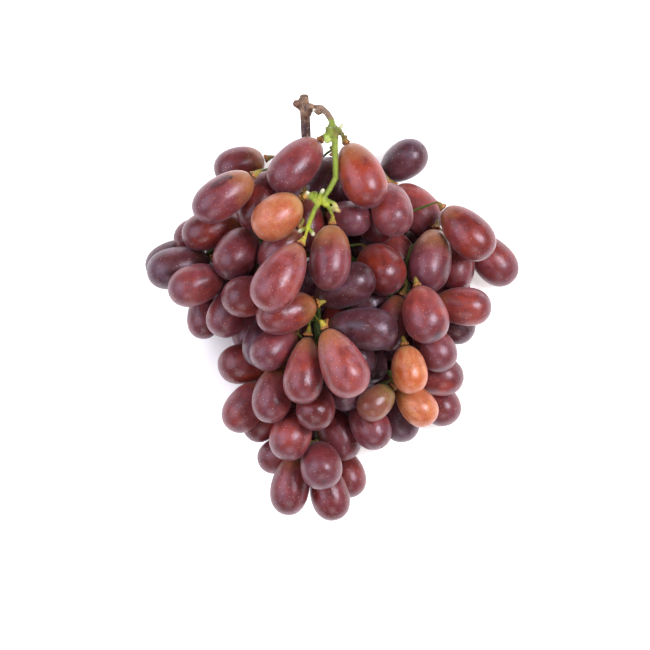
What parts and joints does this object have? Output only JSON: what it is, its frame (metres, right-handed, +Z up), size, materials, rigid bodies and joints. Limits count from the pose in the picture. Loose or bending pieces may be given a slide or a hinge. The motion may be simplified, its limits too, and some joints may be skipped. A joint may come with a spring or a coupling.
{
  "type": "bunch of grapes",
  "caption": "Bunch of long red table grapes on its green and brown stem, lying on its back as picked.",
  "frame": {"origin": "on the resting surface, under the middle of the bunch's box", "axes": "+Z up from the surface to the viewer's side, +Y from the tail to the cut end of the stem, +X to the viewer's right when looking down on it with the stem at the top"},
  "size_m": [0.1732, 0.196, 0.0923],
  "materials": {
    "berry_wine_red": "satin skin with a waxy bloom",
    "berry_pink_red": "satin skin with a waxy bloom",
    "berry_dark_violet": "satin skin with a waxy bloom",
    "berry_amber": "satin, half ripe",
    "berry_olive": "satin, half ripe",
    "stem_green": "matte, fresh green, brown and woody near the cut"
  },
  "bodies": {
    "root": {"front_berry_01": "berry_wine_red", "front_berry_02": "berry_amber", "front_berry_03": "berry_pink_red", "front_berry_04": "berry_wine_red", "front_berry_05": "berry_wine_red", "front_berry_06": "berry_wine_red", "front_berry_07": "berry_wine_red", "front_berry_08": "berry_wine_red", "front_berry_09": "berry_wine_red", "front_berry_10": "berry_dark_violet", "front_berry_11": "berry_wine_red", "front_berry_12": "berry_pink_red", "front_berry_13": "berry_wine_red", "front_berry_14": "berry_wine_red", "front_berry_15": "berry_wine_red", "front_berry_16": "berry_wine_red", "front_berry_17": "berry_wine_red", "front_berry_18": "berry_wine_red", "left_shoulder_berry_01": "berry_wine_red", "left_shoulder_berry_02": "berry_wine_red", "left_shoulder_berry_03": "berry_wine_red", "left_shoulder_berry_04": "berry_dark_violet", "left_shoulder_berry_05": "berry_wine_red", "left_side_berry_01": "berry_wine_red", "left_side_berry_02": "berry_wine_red", "left_side_berry_03": "berry_wine_red", "left_side_berry_04": "berry_wine_red", "pressed_berries_01": "berry_dark_violet", "pressed_berries_02": "berry_dark_violet", "pressed_berries_03": "berry_dark_violet", "pressed_berries_04": "berry_dark_violet", "pressed_berries_05": "berry_dark_violet", "pressed_berries_06": "berry_dark_violet", "pressed_berries_07": "berry_dark_violet", "pressed_berries_08": "berry_dark_violet", "pressed_berries_09": "berry_dark_violet", "pressed_berries_10": "berry_dark_violet", "pressed_berries_11": "berry_dark_violet", "pressed_berries_12": "berry_dark_violet", "pressed_berries_13": "berry_dark_violet", "pressed_berries_14": "berry_dark_violet", "right_shoulder_berry_01": "berry_dark_violet", "right_shoulder_berry_02": "berry_wine_red", "right_shoulder_berry_03": "berry_wine_red", "right_shoulder_berry_04": "berry_wine_red", "right_shoulder_berry_05": "berry_wine_red", "right_shoulder_berry_06": "berry_wine_red", "right_side_berry_01": "berry_wine_red", "right_side_berry_02": "berry_wine_red", "right_side_berry_03": "berry_amber", "right_side_berry_04": "berry_amber", "right_side_berry_05": "berry_olive", "right_side_berry_06": "berry_dark_violet", "stem": "stem_green", "tail_berry_01": "berry_wine_red", "tail_berry_02": "berry_wine_red", "tail_berry_03": "berry_wine_red", "tail_berry_04": "berry_wine_red", "tail_berry_05": "berry_wine_red", "tail_berry_06": "berry_wine_red"}
  },
  "joints": []
}
